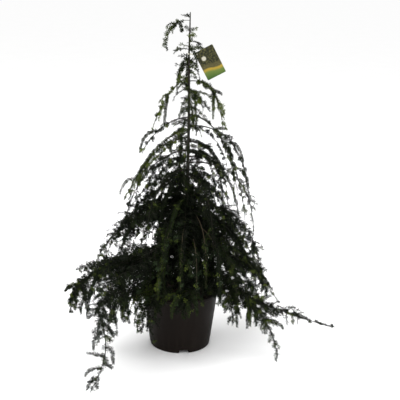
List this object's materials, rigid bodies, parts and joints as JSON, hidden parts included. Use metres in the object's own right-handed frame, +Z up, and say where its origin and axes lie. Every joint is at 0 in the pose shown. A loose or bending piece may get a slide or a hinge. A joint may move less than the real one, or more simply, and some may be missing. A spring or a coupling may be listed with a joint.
{
  "type": "potted weeping hemlock",
  "caption": "Young weeping conifer with an upright trunk, arching boughs and hanging needle sprays, standing in a round dark plastic pot.",
  "frame": {"origin": "centre of the pot's flat underside", "axes": "+Z up along the trunk, -Y towards the front, +X to the right"},
  "size_m": [1.0274, 0.9314, 1.2273],
  "materials": {
    "pot_plastic": "matt, moulded",
    "soil_mix": "loose bark and peat",
    "bark": "rough, finely scaly",
    "needles": "satin needles",
    "tag_card": "printed card"
  },
  "bodies": {
    "root": {"bough_high_left": "bark", "bough_high_right": "bark", "bough_low_back": "bark", "bough_low_back_left": "bark", "bough_low_back_right": "bark", "bough_low_front_left": "bark", "bough_low_left": "bark", "bough_low_right_hanging": "bark", "bough_low_right_long": "bark", "bough_mid_left": "bark", "bough_mid_right": "bark", "bough_outer_right": "bark", "bough_wide_left": "bark", "bough_wide_right": "bark", "foliage_arch_right": "needles", "foliage_back_hanging": "needles", "foliage_front_strand": "needles", "foliage_front_tuft": "needles", "foliage_high_back": "needles", "foliage_high_left": "needles", "foliage_high_right": "needles", "foliage_left_hanging": "needles", "foliage_left_strand": "needles", "foliage_low_back": "needles", "foliage_low_back_left": "needles", "foliage_low_back_right": "needles", "foliage_low_front": "needles", "foliage_low_front_left": "needles", "foliage_low_front_right": "needles", "foliage_low_left": "needles", "foliage_low_left_hanging": "needles", "foliage_low_left_under": "needles", "foliage_low_right": "needles", "foliage_low_right_hanging": "needles", "foliage_low_right_long": "needles", "foliage_mid_back_left": "needles", "foliage_mid_back_right": "needles", "foliage_mid_front_left": "needles", "foliage_mid_front_right": "needles", "foliage_mid_left": "needles", "foliage_mid_right": "needles", "foliage_outer_right": "needles", "foliage_right_hanging": "needles", "foliage_top_left": "needles", "foliage_upper_back": "needles", "foliage_upper_front": "needles", "foliage_upper_left": "needles", "foliage_upper_right": "needles", "foliage_wide_back": "needles", "foliage_wide_back_left": "needles", "foliage_wide_back_right": "needles", "foliage_wide_front": "needles", "foliage_wide_front_left": "needles", "foliage_wide_front_right": "needles", "foliage_wide_left": "needles", "foliage_wide_right": "needles", "plant_tag": "tag_card", "pot": "pot_plastic", "soil": "soil_mix", "trunk": "bark"}
  },
  "joints": []
}
